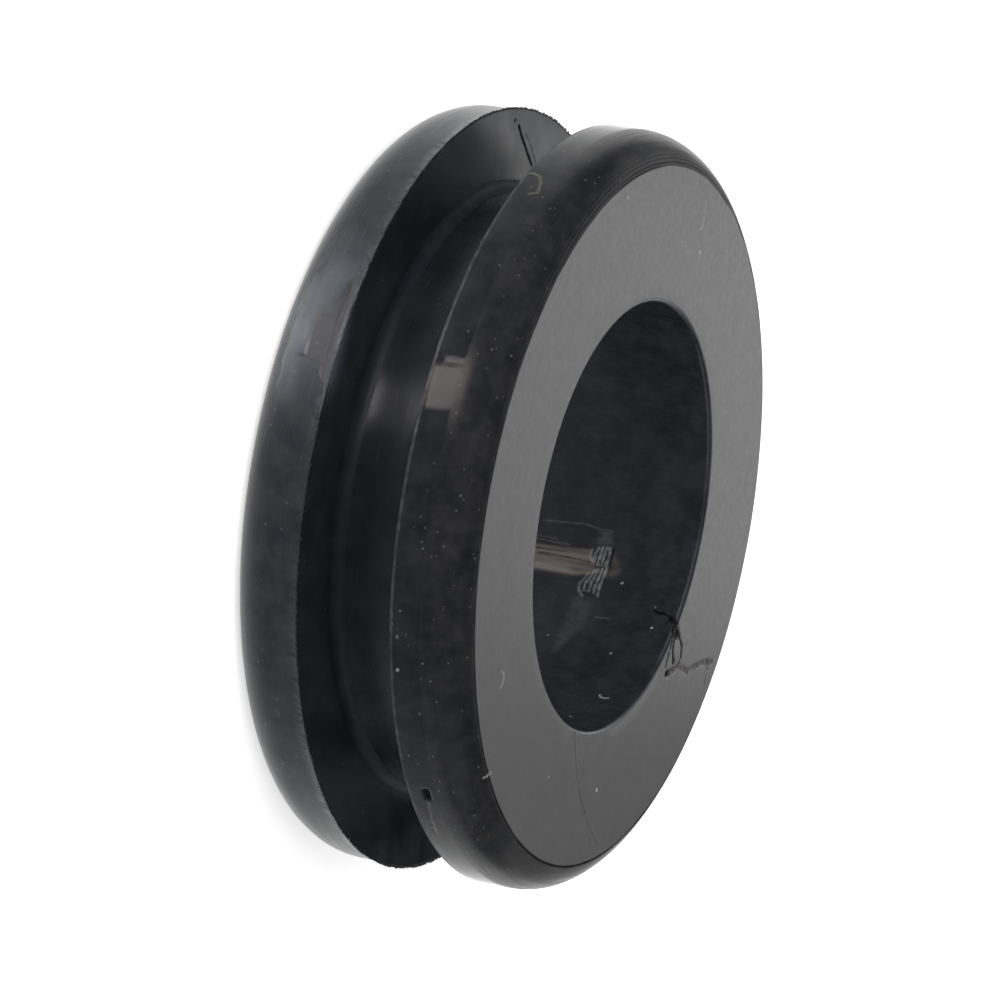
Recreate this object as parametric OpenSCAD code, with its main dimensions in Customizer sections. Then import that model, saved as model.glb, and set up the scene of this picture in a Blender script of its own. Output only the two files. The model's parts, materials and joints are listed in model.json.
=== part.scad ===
// Rubber grommet, moulded in one piece: two equal flanges with rounded shoulders, a
// square-walled panel groove between them, and a plain bore for a cable.
// It lies on the flat face of its lower flange. The origin is the centre of that face,
// and +Z runs up the bore.

/* [Flanges] */
// Diameter over the rims, without the flash
outer_d = 44.5; // [40:0.5:60]
// Thickness of each flange
flange_t = 4.5; // [3.6:0.1:8]
// Radius of the shoulder that rounds a rim over to its flat face
shoulder_r = 2.7; // [2.3:0.1:3.5]
// How far the shoulder reaches in from the rim before the flat face begins
shoulder_w = 1.8; // [1:0.1:2.2]
// Radius of the rounded edge where the upper rim meets the groove
rim_edge_r = 0.2; // [0.05:0.05:0.6]

/* [Panel groove] */
// Diameter of the groove's floor, which the hole in the panel closes on
groove_d = 35.2; // [30:0.2:38]
// Width of the groove between the flanges
groove_w = 5.5; // [2:0.5:12]
// Radius of the fillets between the groove's floor and its walls
groove_fillet_r = 0.6; // [0.1:0.1:0.9]

/* [Bore] */
// Diameter of the bore
bore_d = 25; // [10:0.5:27]
// Radius of the rounded edge at each mouth of the bore
bore_edge_r = 0.3; // [0.1:0.1:1]

/* [Moulding flash] */
// How far the trimmed flash stands out from the lower rim
flash_w = 0.3; // [0.1:0.05:0.8]
// Thickness of the flash, along the lower rim's groove edge
flash_t = 0.25; // [0.1:0.05:0.6]

/* [Hidden] */
rubber_colour = [0.17, 0.165, 0.17];
$fn = 180;

outer_r = outer_d / 2;
groove_r = groove_d / 2;
bore_r = bore_d / 2;
total_h = 2 * flange_t + groove_w;
// Rise of the shoulder's arc, from where it leaves the rim to where it meets the face
shoulder_h = sqrt(pow(shoulder_r, 2) - pow(shoulder_r - shoulder_w, 2));
// Straight part of the rim below the shoulder
rim_h = flange_t - shoulder_h;

// What is left of a square corner of size r once a quarter circle has rounded it.
// The corner is at the origin and the rubber lies towards +X and +Y.
module corner_rest(r) {
    difference() {
        square(r);
        translate([r, r])
            circle(r);
    }
}

// Half section of one flange, groove side on y = 0 and flat face up
module flange_section() {
    square([outer_r, rim_h]);
    square([outer_r - shoulder_r, flange_t]);
    intersection() {
        translate([outer_r - shoulder_r, rim_h])
            circle(shoulder_r);
        square([outer_r, flange_t]);
    }
}

// Half section of the neck with its fillets, from the lower flange to the upper one
module neck_section() {
    square([groove_r, groove_w]);
    translate([groove_r, 0])
        corner_rest(groove_fillet_r);
    translate([groove_r, groove_w])
        mirror([0, 1])
            corner_rest(groove_fillet_r);
}

// Half section of the bore, wider at both mouths where its edges are rounded
module bore_section() {
    square([bore_r, total_h]);
    translate([bore_r, 0])
        corner_rest(bore_edge_r);
    translate([bore_r, total_h])
        mirror([0, 1])
            corner_rest(bore_edge_r);
}

// Half section of the whole grommet
module grommet_section() {
    difference() {
        union() {
            translate([0, flange_t])
                mirror([0, 1])
                    flange_section();
            translate([0, flange_t])
                neck_section();
            translate([0, flange_t + groove_w])
                flange_section();
            translate([0, flange_t - flash_t])
                square([outer_r + flash_w, flash_t]);
        }
        bore_section();
        translate([outer_r, flange_t + groove_w])
            mirror([1, 0])
                corner_rest(rim_edge_r);
    }
}

module grommet() {
    color(rubber_colour)
        rotate_extrude()
            grommet_section();
}

grommet();
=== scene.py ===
"""Rubber grommet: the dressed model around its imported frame, with floor, lights and camera.

The grommet lies on the flat face of its lower flange. Lengths are in metres, in the frame of
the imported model: the origin is the centre of that face and +Z runs up the bore. Only the
strokes, patches, flecks and fine areas are written in degrees and millimetres.

The skin is one closed mesh, turned from the half section. It is meshed finely where it is
marked, and each mark then lifts or sinks the skin and changes how the rubber there looks.
"""
import json
import logging
import math
from abc import ABC, abstractmethod
from dataclasses import dataclass, replace
from enum import Enum

import bpy
import numpy as np
from mathutils import Matrix, Vector

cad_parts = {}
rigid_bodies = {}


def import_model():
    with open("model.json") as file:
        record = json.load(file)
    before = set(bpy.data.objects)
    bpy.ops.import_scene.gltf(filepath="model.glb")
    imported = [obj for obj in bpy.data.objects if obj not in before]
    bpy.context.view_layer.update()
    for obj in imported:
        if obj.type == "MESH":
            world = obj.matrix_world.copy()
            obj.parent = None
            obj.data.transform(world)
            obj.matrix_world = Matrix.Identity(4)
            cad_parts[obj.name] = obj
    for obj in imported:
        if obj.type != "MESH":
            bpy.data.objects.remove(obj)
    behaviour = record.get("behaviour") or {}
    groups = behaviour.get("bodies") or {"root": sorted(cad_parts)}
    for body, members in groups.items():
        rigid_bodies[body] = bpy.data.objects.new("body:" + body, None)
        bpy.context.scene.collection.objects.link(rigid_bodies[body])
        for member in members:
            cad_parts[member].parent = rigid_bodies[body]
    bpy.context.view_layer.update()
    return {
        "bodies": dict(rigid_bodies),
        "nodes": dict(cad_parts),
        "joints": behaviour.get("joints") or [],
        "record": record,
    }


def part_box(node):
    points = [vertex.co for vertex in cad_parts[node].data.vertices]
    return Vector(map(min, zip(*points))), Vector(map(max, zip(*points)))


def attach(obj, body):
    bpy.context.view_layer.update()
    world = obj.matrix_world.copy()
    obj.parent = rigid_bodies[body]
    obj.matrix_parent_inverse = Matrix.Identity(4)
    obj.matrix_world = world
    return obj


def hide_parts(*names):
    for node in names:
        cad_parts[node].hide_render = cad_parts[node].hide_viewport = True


log = logging.getLogger("grommet")

MM = 0.001
SAME_ROW = 1e-6

Pair = tuple[float, float]
Triple = tuple[float, float, float]


class Zone(Enum):
    """The moulded surfaces of the grommet that differ in finish."""

    BORE = 0
    FACE = 1
    SHOULDER = 2
    RIM = 3
    LOWER_RIM = 4
    GROOVE = 5
    FILLET = 6
    LIP = 7


class Sheet(Enum):
    """The surfaces that carry marks.

    A place on one is an angle about the bore and a station: the height on an upright
    surface, the radius on a flat one. Past its ends a sheet is folded out flat.
    """

    BORE_WALL = "bore wall"
    UPPER_FACE = "upper face"
    UPPER_RIM = "upper rim"
    LOWER_WALL = "lower wall of the groove"
    FLASH = "moulding flash"
    LOWER_RIM = "lower rim"


class Feel(Enum):
    """The ways in which a mark changes the look of the rubber, each from 0 to 1."""

    # TORN darkens torn rubber; the face's step and rings also use it for painted shade.
    TORN = "torn"
    BROWN = "brown"
    PALE = "pale"
    POLISHED = "polished"


Feels = tuple[tuple[Feel, float], ...]


@dataclass(frozen=True)
class Line:
    """A straight stretch of the section.

    Attributes:
        zone: The zone that it belongs to.
        start: Radius and height where it starts.
        end: Radius and height where it ends.
        steps: Number of equal steps that it is meshed in.
        sheet: The sheet that it is, if it carries marks.
    """

    zone: Zone
    start: Pair
    end: Pair
    steps: int
    sheet: Sheet | None = None

    @property
    def length(self) -> float:
        """Length of the stretch."""
        return math.dist(self.start, self.end)

    def at(self, share: np.ndarray) -> tuple[np.ndarray, ...]:
        """Find points along the stretch.

        Args:
            share: How far along each point is, from 0 to 1.

        Returns:
            Radius, height, and the radial and upward parts of the outward normal.
        """
        run = self.end[0] - self.start[0]
        rise = self.end[1] - self.start[1]
        same = np.ones_like(share) / self.length
        return self.start[0] + run * share, self.start[1] + rise * share, -rise * same, run * same


@dataclass(frozen=True)
class Arc:
    """A rounded stretch of the section.

    Attributes:
        zone: The zone that it belongs to.
        centre: Radius and height of its centre.
        radius: Its radius.
        turn: Angles where it starts and ends, in degrees from outward towards upward.
        steps: Number of equal steps that it is meshed in.
    """

    zone: Zone
    centre: Pair
    radius: float
    turn: Pair
    steps: int

    @property
    def length(self) -> float:
        """Length of the stretch."""
        return self.radius * math.radians(abs(self.turn[1] - self.turn[0]))

    def at(self, share: np.ndarray) -> tuple[np.ndarray, ...]:
        """Find points along the stretch.

        Args:
            share: How far along each point is, from 0 to 1.

        Returns:
            Radius, height, and the radial and upward parts of the outward normal.
        """
        angle = np.radians(self.turn[0] + (self.turn[1] - self.turn[0]) * share)
        facing = 1.0 if self.turn[1] < self.turn[0] else -1.0
        out, up = np.cos(angle), np.sin(angle)
        radius = self.centre[0] + self.radius * out
        return radius, self.centre[1] + self.radius * up, facing * out, facing * up


@dataclass(frozen=True)
class Section:
    """Half section of the grommet. The upper rim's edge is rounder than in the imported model.

    ringed_turn is the part of the shoulder's turn, in degrees, that the tool rings lie on, and
    stepped_width is the width of the face that the step at its edge lies on.
    """

    bore_radius: float
    flash_radius: float
    height: float
    flash_reach: float = 0.3 * MM
    flash_thickness: float = 0.25 * MM
    flange_thickness: float = 4.5 * MM
    shoulder_radius: float = 2.7 * MM
    shoulder_reach: float = 1.8 * MM
    rim_edge_radius: float = 0.3 * MM
    groove_radius: float = 17.6 * MM
    fillet_radius: float = 0.6 * MM
    bore_edge_radius: float = 0.3 * MM
    ringed_turn: float = 26.0
    stepped_width: float = 0.3 * MM

    @classmethod
    def from_frame(cls, frame: dict) -> "Section":
        """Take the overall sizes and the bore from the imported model.


        Returns:
            The section with those sizes.
        """
        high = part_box("grommet")[1]
        bore = next(m for m in frame["record"]["mounts"] if m["name"] == "bore")
        return cls(bore_radius=bore["dims"]["r_mm"] * MM, flash_radius=high[0], height=high[2])

    @property
    def rim_radius(self) -> float:
        """Radius of the rims, inside the flash."""
        return self.flash_radius - self.flash_reach

    @property
    def face_radius(self) -> float:
        """Outer radius of the flat faces."""
        return self.rim_radius - self.shoulder_reach

    @property
    def shoulder_turn(self) -> float:
        """Angle from the level at which the shoulder's arc meets the flat face, in degrees."""
        run = self.shoulder_radius - self.shoulder_reach
        return math.degrees(math.acos(run / self.shoulder_radius))

    @property
    def shoulder_height(self) -> float:
        """Rise of the shoulder's arc."""
        return self.shoulder_radius * math.sin(math.radians(self.shoulder_turn))

    def stretches(self) -> list[Line | Arc]:
        """Go once round the half section: up the bore, out, down and back in.

        Returns:
            The stretches in order.
        """
        top = self.height
        low, high = self.flange_thickness, top - self.flange_thickness
        bore, rim, face, floor = self.bore_radius, self.rim_radius, self.face_radius, self.groove_radius
        mouth, lip, fillet = self.bore_edge_radius, self.rim_edge_radius, self.fillet_radius
        shoulder, turn = self.shoulder_radius, self.shoulder_turn
        upper_centre = (rim - shoulder, top - self.shoulder_height)
        lower_centre = (rim - shoulder, self.shoulder_height)
        flash_foot = low - self.flash_thickness
        ringed = turn - self.ringed_turn
        near_edge = face - self.stepped_width
        return [
            Line(Zone.BORE, (bore, mouth), (bore, top - mouth), 14, Sheet.BORE_WALL),
            Arc(Zone.BORE, (bore + mouth, top - mouth), mouth, (180.0, 90.0), 4),
            Line(Zone.FACE, (bore + mouth, top), (near_edge, top), 9, Sheet.UPPER_FACE),
            Line(Zone.FACE, (near_edge, top), (face, top), 6),
            Arc(Zone.SHOULDER, upper_centre, shoulder, (turn, ringed), 24),
            Arc(Zone.SHOULDER, upper_centre, shoulder, (ringed, 0.0), 6),
            Line(Zone.RIM, (rim, upper_centre[1]), (rim, high + lip), 3, Sheet.UPPER_RIM),
            Arc(Zone.LIP, (rim - lip, high + lip), lip, (0.0, -90.0), 5),
            Line(Zone.GROOVE, (rim - lip, high), (floor + fillet, high), 4),
            Arc(Zone.FILLET, (floor + fillet, high - fillet), fillet, (90.0, 180.0), 4),
            Line(Zone.GROOVE, (floor, high - fillet), (floor, low + fillet), 5),
            Arc(Zone.FILLET, (floor + fillet, low + fillet), fillet, (180.0, 270.0), 4),
            Line(Zone.GROOVE, (floor + fillet, low), (rim, low), 8, Sheet.LOWER_WALL),
            Line(Zone.GROOVE, (rim, low), (self.flash_radius, low), 2, Sheet.FLASH),
            Line(Zone.LOWER_RIM, (self.flash_radius, low), (rim, flash_foot), 2),
            Line(Zone.LOWER_RIM, (rim, flash_foot), (rim, lower_centre[1]), 3, Sheet.LOWER_RIM),
            Arc(Zone.LOWER_RIM, lower_centre, shoulder, (0.0, -turn), 10),
            Line(Zone.FACE, (face, 0.0), (bore + mouth, 0.0), 8),
            Arc(Zone.FACE, (bore + mouth, mouth), mouth, (270.0, 180.0), 4),
        ]


class Outline:
    """The closed half section, measured in mesh rows and in reach.

    Reach is the length along the outline, from the bottom of the bore's wall.
    """

    def __init__(self, section: Section) -> None:
        """Lay the stretches end to end.

        Args:
            section: The half section.
        """
        self.section = section
        self.stretches = section.stretches()
        self.row_marks = np.cumsum([0] + [s.steps for s in self.stretches])
        self.reach_marks = np.cumsum([0.0] + [s.length for s in self.stretches])

    @property
    def rows(self) -> int:
        """Number of mesh rows once round the outline."""
        return int(self.row_marks[-1])

    def stretch_at(self, row: np.ndarray | float) -> np.ndarray:
        """Number of the stretch that each row lies in."""
        return np.searchsorted(self.row_marks, row + SAME_ROW, side="right") - 1

    def at(self, row: np.ndarray) -> tuple[np.ndarray, ...]:
        """Find points of the outline.

        Args:
            row: Places on the outline in rows, which may lie between two rows.

        Returns:
            Radius, height, radial and upward parts of the outward normal, and reach.
        """
        index = self.stretch_at(row)
        parts = np.zeros((4, len(row)))
        for number, stretch in enumerate(self.stretches):
            mine = index == number
            share = (row[mine] - self.row_marks[number]) / stretch.steps
            parts[:, mine] = stretch.at(share)
        return (*parts, np.interp(row, self.row_marks, self.reach_marks))

    def row_at(self, reach: float) -> float:
        """Turn a reach into rows."""
        return float(np.interp(reach, self.reach_marks, self.row_marks))

    def reach_of(self, sheet: Sheet, station: float) -> float:
        """Turn a station on a sheet into reach.

        Args:
            sheet: The sheet.
            station: Radius or height there, in millimetres.

        Returns:
            The reach.
        """
        lines = ((n, s) for n, s in enumerate(self.stretches) if isinstance(s, Line))
        number = next(n for n, line in lines if line.sheet is sheet)
        stretch = self.stretches[number]
        axis = int(stretch.start[0] == stretch.end[0])
        direction = math.copysign(1.0, stretch.end[axis] - stretch.start[axis])
        return float(self.reach_marks[number] + (station * MM - stretch.start[axis]) * direction)

    def place(self, sheet: Sheet, place: Pair) -> Triple:
        """Turn a marked place round into metres.

        Args:
            sheet: The sheet that carries it.
            place: Its angle in degrees and its station in millimetres.

        Returns:
            Angle in radians, reach and radius.
        """
        reach = self.reach_of(sheet, place[1])
        radius = self.at(np.array([self.row_at(reach)]))[0][0]
        return math.radians(place[0]), reach, float(radius)


class Skin:
    """Every point of the skin, with what the marks do to it."""

    def __init__(self, outline: Outline, angle: np.ndarray, row: np.ndarray) -> None:
        """Place the unmarked points.

        Args:
            outline: The closed half section.
            angle: Angle of each point about the bore, in radians.
            row: Place of each point on the outline, in rows.
        """
        self.outline = outline
        self.angle = angle
        self.radius, self.height, self.out, self.up, self.reach = outline.at(row)
        self.lift = np.zeros_like(row)
        self.draw = np.zeros_like(row)
        self.feels = {feel: np.zeros_like(row) for feel in Feel}

    def points(self) -> np.ndarray:
        """Work out where all points are.

        Returns:
            Their places, with the marks.
        """
        radius = self.radius + self.out * self.lift + self.draw
        height = self.height + self.up * self.lift
        return np.stack([radius * np.cos(self.angle), radius * np.sin(self.angle), height], axis=1)

    def circle(self, radius: float) -> np.ndarray:
        """Places on a circle, one at the angle of each point."""
        return radius * np.stack([np.cos(self.angle), np.sin(self.angle)], axis=1)

    def near(self, sheet: Sheet, path: tuple[Pair, ...], margin: float) -> tuple[np.ndarray, ...]:
        """Unroll the skin flat near a path.

        Args:
            sheet: The sheet that the path lies on.
            path: Its corners, in degrees and millimetres.
            margin: How far from the path a point may be.

        Returns:
            Indices of the points, their places on the unrolled skin, and the corners there.
        """
        places = [self.outline.place(sheet, place) for place in path]
        middle = places[0][0]
        corners = np.array([(radius * (angle - middle), reach) for angle, reach, radius in places])
        turn = (self.angle - middle + math.pi) % (2.0 * math.pi) - math.pi
        spots = np.stack([self.radius * turn, self.reach], axis=1)
        low, high = corners.min(axis=0) - margin, corners.max(axis=0) + margin
        mine = np.flatnonzero(np.all((spots > low) & (spots < high), axis=1))
        return mine, spots[mine], corners

    def mark(self, mine: np.ndarray, lift: np.ndarray | float, feels: Feels, amount: np.ndarray) -> None:
        """Lift some points and change their look.

        Args:
            mine: Indices of the points.
            lift: How far each is lifted.
            feels: What changes in the look of the rubber, and how much at most.
            amount: Share of that at each point. What is there already stays if it is more.
        """
        self.lift[mine] += lift
        for kind, most in feels:
            self.feels[kind][mine] = np.maximum(self.feels[kind][mine], np.clip(most * amount, 0.0, 1.0))


def ease(share: np.ndarray) -> np.ndarray:
    """Ease a share from 0 to 1 in and out."""
    return share * share * (3.0 - 2.0 * share)


def wander(spots: np.ndarray, cell: float, seed: int) -> np.ndarray:
    """Smooth random values over a plane.

    Args:
        spots: Places on the plane, one row each.
        cell: Distance over which the values change.
        seed: Which random values.

    Returns:
        A value from -1 to 1 for each place.
    """
    side = 64
    table = np.random.default_rng(seed).uniform(-1.0, 1.0, (side, side))
    place = spots / cell
    low = np.floor(place).astype(int)
    part = ease(place - low)
    i, j = low[:, 0] % side, low[:, 1] % side
    k, m = (i + 1) % side, (j + 1) % side
    near = table[i, j] * (1.0 - part[:, 0]) + table[k, j] * part[:, 0]
    far = table[i, m] * (1.0 - part[:, 0]) + table[k, m] * part[:, 0]
    return near * (1.0 - part[:, 1]) + far * part[:, 1]


def fall(distance: np.ndarray, width: np.ndarray | float) -> np.ndarray:
    """Smooth fall from 1 at no distance to 0 at a width."""
    return np.clip(1.0 - (distance / width) ** 2, 0.0, 1.0) ** 2


def look(shape: np.ndarray) -> np.ndarray:
    """Share of a mark's look, which is full over more of its width than its depth is."""
    return np.minimum(1.0, 1.6 * shape)


def from_path(spots: np.ndarray, path: np.ndarray) -> tuple[np.ndarray, np.ndarray]:
    """Measure how far places are from a path.

    Args:
        spots: Places on the unrolled skin.
        path: Corners of the path, there too.

    Returns:
        Distance of each place from the path, and how far along the path the nearest point is.
    """
    best = np.full(len(spots), np.inf)
    along = np.zeros(len(spots))
    passed = 0.0
    for start, end in zip(path[:-1], path[1:]):
        leg = end - start
        length = float(np.hypot(*leg))
        share = np.clip((spots - start) @ leg / length**2, 0.0, 1.0)
        distance = np.hypot(*(spots - start - share[:, None] * leg).T)
        nearer = distance < best
        best[nearer] = distance[nearer]
        along[nearer] = passed + share[nearer] * length
        passed += length
    return best, along


def inside(spots: np.ndarray, corners: np.ndarray) -> np.ndarray:
    """Tell which places are inside a closed outline on the unrolled skin.

    Args:
        spots: Places on the unrolled skin.
        corners: Corners of the outline, there too.

    Returns:
        True for each place inside.
    """
    result = np.zeros(len(spots), dtype=bool)
    for start, end in zip(corners, np.roll(corners, -1, axis=0)):
        rise = end[1] - start[1]
        if rise == 0.0:
            continue
        crosses = (start[1] > spots[:, 1]) != (end[1] > spots[:, 1])
        left = spots[:, 0] < start[0] + (spots[:, 1] - start[1]) * (end[0] - start[0]) / rise
        result ^= crosses & left
    return result


class Mark(ABC):
    """Something that time, the mould or handling left on the skin."""

    @abstractmethod
    def press(self, skin: Skin, sheet: Sheet) -> None:
        """Put the mark on the skin.

        Args:
            skin: The skin, which is changed.
            sheet: The sheet that carries the mark.
        """


@dataclass(frozen=True)
class Stroke(Mark):
    """A scratch, crack, ridge or stain that runs along a path.

    Attributes:
        path: Its corners, in degrees and millimetres.
        width: Half its width, in millimetres.
        lift: How far it stands up, or sinks in if negative, in millimetres.
        rough: How far the lift and the width wander, from 0 to 1.
        feels: How it changes the look of the rubber.
        seed: Which random values.
        wobble_cell: Distance over which its lift wanders, in half widths.
        swell_cell: Distance over which its width wanders, in half widths.
        swell: How far its width wanders at most, as a share of it.
        wobble_look: Share of the wandering that its look takes on.
    """

    path: tuple[Pair, ...]
    width: float
    lift: float = 0.0
    rough: float = 0.0
    feels: Feels = ()
    seed: int = 1
    wobble_cell: float = 1.2
    swell_cell: float = 2.0
    swell: float = 0.35
    wobble_look: float = 0.5

    def press(self, skin: Skin, sheet: Sheet) -> None:
        """Put the stroke on the skin.

        Args:
            skin: The skin, which is changed.
            sheet: The sheet that carries the stroke.
        """
        width, lift = self.width * MM, self.lift * MM
        mine, spots, path = skin.near(sheet, self.path, 2.0 * width)
        distance, along = from_path(spots, path)
        wobble = self.rough * wander(spots, self.wobble_cell * width, self.seed)
        level = np.stack([along, 0.0 * along], axis=1)
        swell = self.rough * wander(level, self.swell_cell * width, self.seed + 1)
        shape = fall(distance, width * (1.0 + self.swell * swell))
        amount = look(shape) * (1.0 + self.wobble_look * wobble)
        skin.mark(mine, lift * shape * (1.0 + wobble), self.feels, amount)


@dataclass(frozen=True)
class Patch(Mark):
    """An area that is raised, sunk or stained as a whole.

    Attributes:
        corners: Its corners, in degrees and millimetres.
        edge: Width over which it begins, in millimetres.
        lift: How far it stands up, or sinks in if negative, in millimetres.
        rough: How far the surface inside wanders, in millimetres.
        feels: How it changes the look of the rubber.
        streak: How many times longer its clouds are along the reach.
        seed: Which random values.
        cloud_size: Size of its clouds, in millimetres.
        cloud_look: How far its look varies with the clouds.
    """

    corners: tuple[Pair, ...]
    edge: float
    lift: float = 0.0
    rough: float = 0.0
    feels: Feels = ()
    streak: float = 1.0
    seed: int = 1
    cloud_size: float = 0.18
    cloud_look: float = 0.45

    def press(self, skin: Skin, sheet: Sheet) -> None:
        """Put the patch on the skin.

        Args:
            skin: The skin, which is changed.
            sheet: The sheet that carries the patch.
        """
        edge = self.edge * MM
        mine, spots, corners = skin.near(sheet, self.corners, edge)
        distance = from_path(spots, np.vstack([corners, corners[:1]]))[0]
        depth = np.where(inside(spots, corners), distance, -distance)
        share = ease(np.clip(0.5 + depth / edge, 0.0, 1.0))
        cloud = wander(spots / (1.0, self.streak), self.cloud_size * MM, self.seed)
        lift = share * (self.lift + self.rough * cloud) * MM
        skin.mark(mine, lift, self.feels, share * (1.0 + self.cloud_look * cloud))


@dataclass(frozen=True)
class Fleck(Mark):
    """A grain of pale dust bedded in the skin, or a small pit.

    Attributes:
        place: Its place, in degrees and millimetres.
        size: Its radius, in millimetres.
        lift: How far it stands up, or sinks in if negative, in millimetres.
        feels: How it changes the look of the rubber.
    """

    place: Pair
    size: float = 0.09
    lift: float = 0.0
    feels: Feels = ((Feel.PALE, 1.0),)

    def press(self, skin: Skin, sheet: Sheet) -> None:
        """Put the fleck on the skin.

        Args:
            skin: The skin, which is changed.
            sheet: The sheet that carries the fleck.
        """
        size = self.size * MM
        mine, spots, corners = skin.near(sheet, (self.place,), size)
        shape = fall(np.hypot(*(spots - corners[0]).T), size)
        skin.mark(mine, self.lift * MM * shape, self.feels, look(shape))


@dataclass(frozen=True)
class FaceStep(Mark):
    """The fine step round a face's edge, and the tool rings just outside it. Both are sunk, and their
    hollows are painted darker as painted shade.

    Attributes:
        depth: Depth of the step's thin line.
        width: Half its width.
        offset: How far the line's middle is outside the flat face.
        strength: Mean strength of the line, its change round the bore, and its wandering.
        faint_side: Angle at which the line is faintest, in radians.
        circle: Radius of the circle that the wandering is measured on.
        cell: Distance over which the line wanders.
        seed: Which random values it wanders by.
        dark: How far the line is painted dark with the torn rubber's colour, as painted shade in the
            step.
        ring_pitch: Distance between two rings.
        ring_depth: Depth of the first ring; the others are shallower.
        rings: Number of rings.
        ring_strength: Mean strength of the rings, and its change round the bore.
        ring_side: Angle at which the rings are deepest, in radians.
        ring_dark: How far the rings' hollows are painted dark with the torn rubber's colour, as painted
            shade.
    """

    depth: float = 0.06 * MM
    width: float = 0.11 * MM
    offset: float = 0.02 * MM
    strength: Triple = (0.55, 0.33, 0.3)
    faint_side: float = 2.5
    circle: float = 20.0 * MM
    cell: float = 1.1 * MM
    seed: int = 8
    dark: float = 1.3
    ring_pitch: float = 0.24 * MM
    ring_depth: float = 0.03 * MM
    rings: int = 4
    ring_strength: Pair = (0.55, 0.45)
    ring_side: float = 2.7
    ring_dark: float = 0.65

    def press(self, skin: Skin, sheet: Sheet) -> None:
        """Put the step and the rings on the skin.

        Args:
            skin: The skin, which is changed.
            sheet: The flat face.
        """
        out = skin.reach - skin.outline.reach_of(sheet, skin.outline.section.face_radius / MM)
        mean, change, wandering = self.strength
        strength = mean - change * np.cos(skin.angle - self.faint_side)
        strength += wandering * wander(skin.circle(self.circle), self.cell, self.seed)
        shape = fall(np.abs(out - self.offset), self.width) * strength
        # The step's line is sunk and also painted dark: painted shade along the step, stronger on one
        # side.
        skin.mark(np.arange(len(out)), -self.depth * shape, ((Feel.TORN, self.dark),), shape)
        span = self.rings * self.ring_pitch
        past = out - 0.5 * self.ring_pitch
        mine = np.flatnonzero((past > 0.0) & (past < span))
        mean, change = self.ring_strength
        wave = (0.5 + 0.5 * np.cos(2.0 * math.pi * out[mine] / self.ring_pitch)) ** 2
        wave *= (1.0 - past[mine] / span) * (mean + change * np.cos(skin.angle[mine] - self.ring_side))
        # The rings' hollows are sunk and also painted dark: painted shade in the rings.
        skin.mark(mine, -self.ring_depth * wave, ((Feel.TORN, self.ring_dark),), wave)


@dataclass(frozen=True)
class RaggedFlash(Mark):
    """The torn edge of the moulding flash.

    Attributes:
        teeth: Number of teeth once round.
        least: Least gap between the teeth's tips and the full reach.
        spread: How far the tips vary.
        notch: Mean depth between two teeth.
        pitch_range: Least and greatest distance between two corners, as a share of the mean.
        notch_range: Least and greatest depth between two teeth, as a share of the mean.
        rarity: The higher, the fewer tips are far back.
        feels: How the flash looks.
        seed: Which random values.
    """

    teeth: int = 350
    least: float = 0.015 * MM
    spread: float = 0.08 * MM
    notch: float = 0.12 * MM
    pitch_range: Pair = (0.5, 1.5)
    notch_range: Pair = (0.6, 1.4)
    rarity: float = 1.5
    feels: Feels = ((Feel.TORN, 0.55),)
    seed: int = 21

    def press(self, skin: Skin, sheet: Sheet) -> None:
        """Draw the flash's tip in between its teeth.

        Args:
            skin: The skin, which is changed.
            sheet: The flash.
        """
        random = np.random.default_rng(self.seed)
        gaps = random.uniform(*self.pitch_range, 2 * self.teeth)
        knots = np.cumsum(gaps) / gaps.sum() * 2.0 * math.pi
        pull = self.least + self.spread * random.uniform(0.0, 1.0, 2 * self.teeth) ** self.rarity
        pull[1::2] += self.notch * random.uniform(*self.notch_range, self.teeth)
        section = skin.outline.section
        gap = np.interp(skin.angle, knots, pull, period=2.0 * math.pi)
        share = (skin.radius - section.rim_radius) / section.flash_reach
        mine = np.flatnonzero(share > 1e-3)
        skin.draw[mine] -= gap[mine] * share[mine]
        skin.mark(mine, 0.0, self.feels, np.ones(len(mine)))


@dataclass(frozen=True)
class Unevenness:
    """The slight waviness of moulded rubber, which breaks up its reflections.

    Attributes:
        depth: How far the skin wanders.
        cell: Distance over which it does.
        circle: Radius of the circle that it is measured on.
        layers: Slant, shift and random values of each layer of waves.
    """

    depth: float = 0.012 * MM
    cell: float = 3.5 * MM
    circle: float = 18.0 * MM
    layers: tuple[tuple[float, float, int], ...] = ((3.0, 0.0, 5), (-2.0, 50.0 * MM, 6))

    def press(self, skin: Skin) -> None:
        """Sink the skin unevenly, never beyond its full size.

        Args:
            skin: The skin, which is changed.
        """
        level = np.stack([skin.reach, skin.reach], axis=1)
        cloud = np.zeros_like(skin.reach)
        for slant, shift, seed in self.layers:
            cloud += wander(skin.circle(self.circle) + slant * level + shift, self.cell, seed)
        skin.lift += self.depth * (cloud / len(self.layers) - 1.0)


@dataclass(frozen=True)
class FineArea:
    """An area of a sheet that is meshed finely, so that it can hold small marks.

    Attributes:
        degrees: Angles where it starts and ends.
        stations: Stations where it starts and ends, in millimetres.
        splits: Number of columns that each column is split in.
        spacing: Largest distance between its rows, in millimetres.
    """

    degrees: Pair
    stations: Pair
    splits: int
    spacing: float


@dataclass(frozen=True)
class Blemish:
    """Marks that lie together on one sheet, and the fine area that holds them."""

    name: str
    sheet: Sheet
    marks: tuple[Mark, ...]
    area: FineArea | None = None


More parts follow.
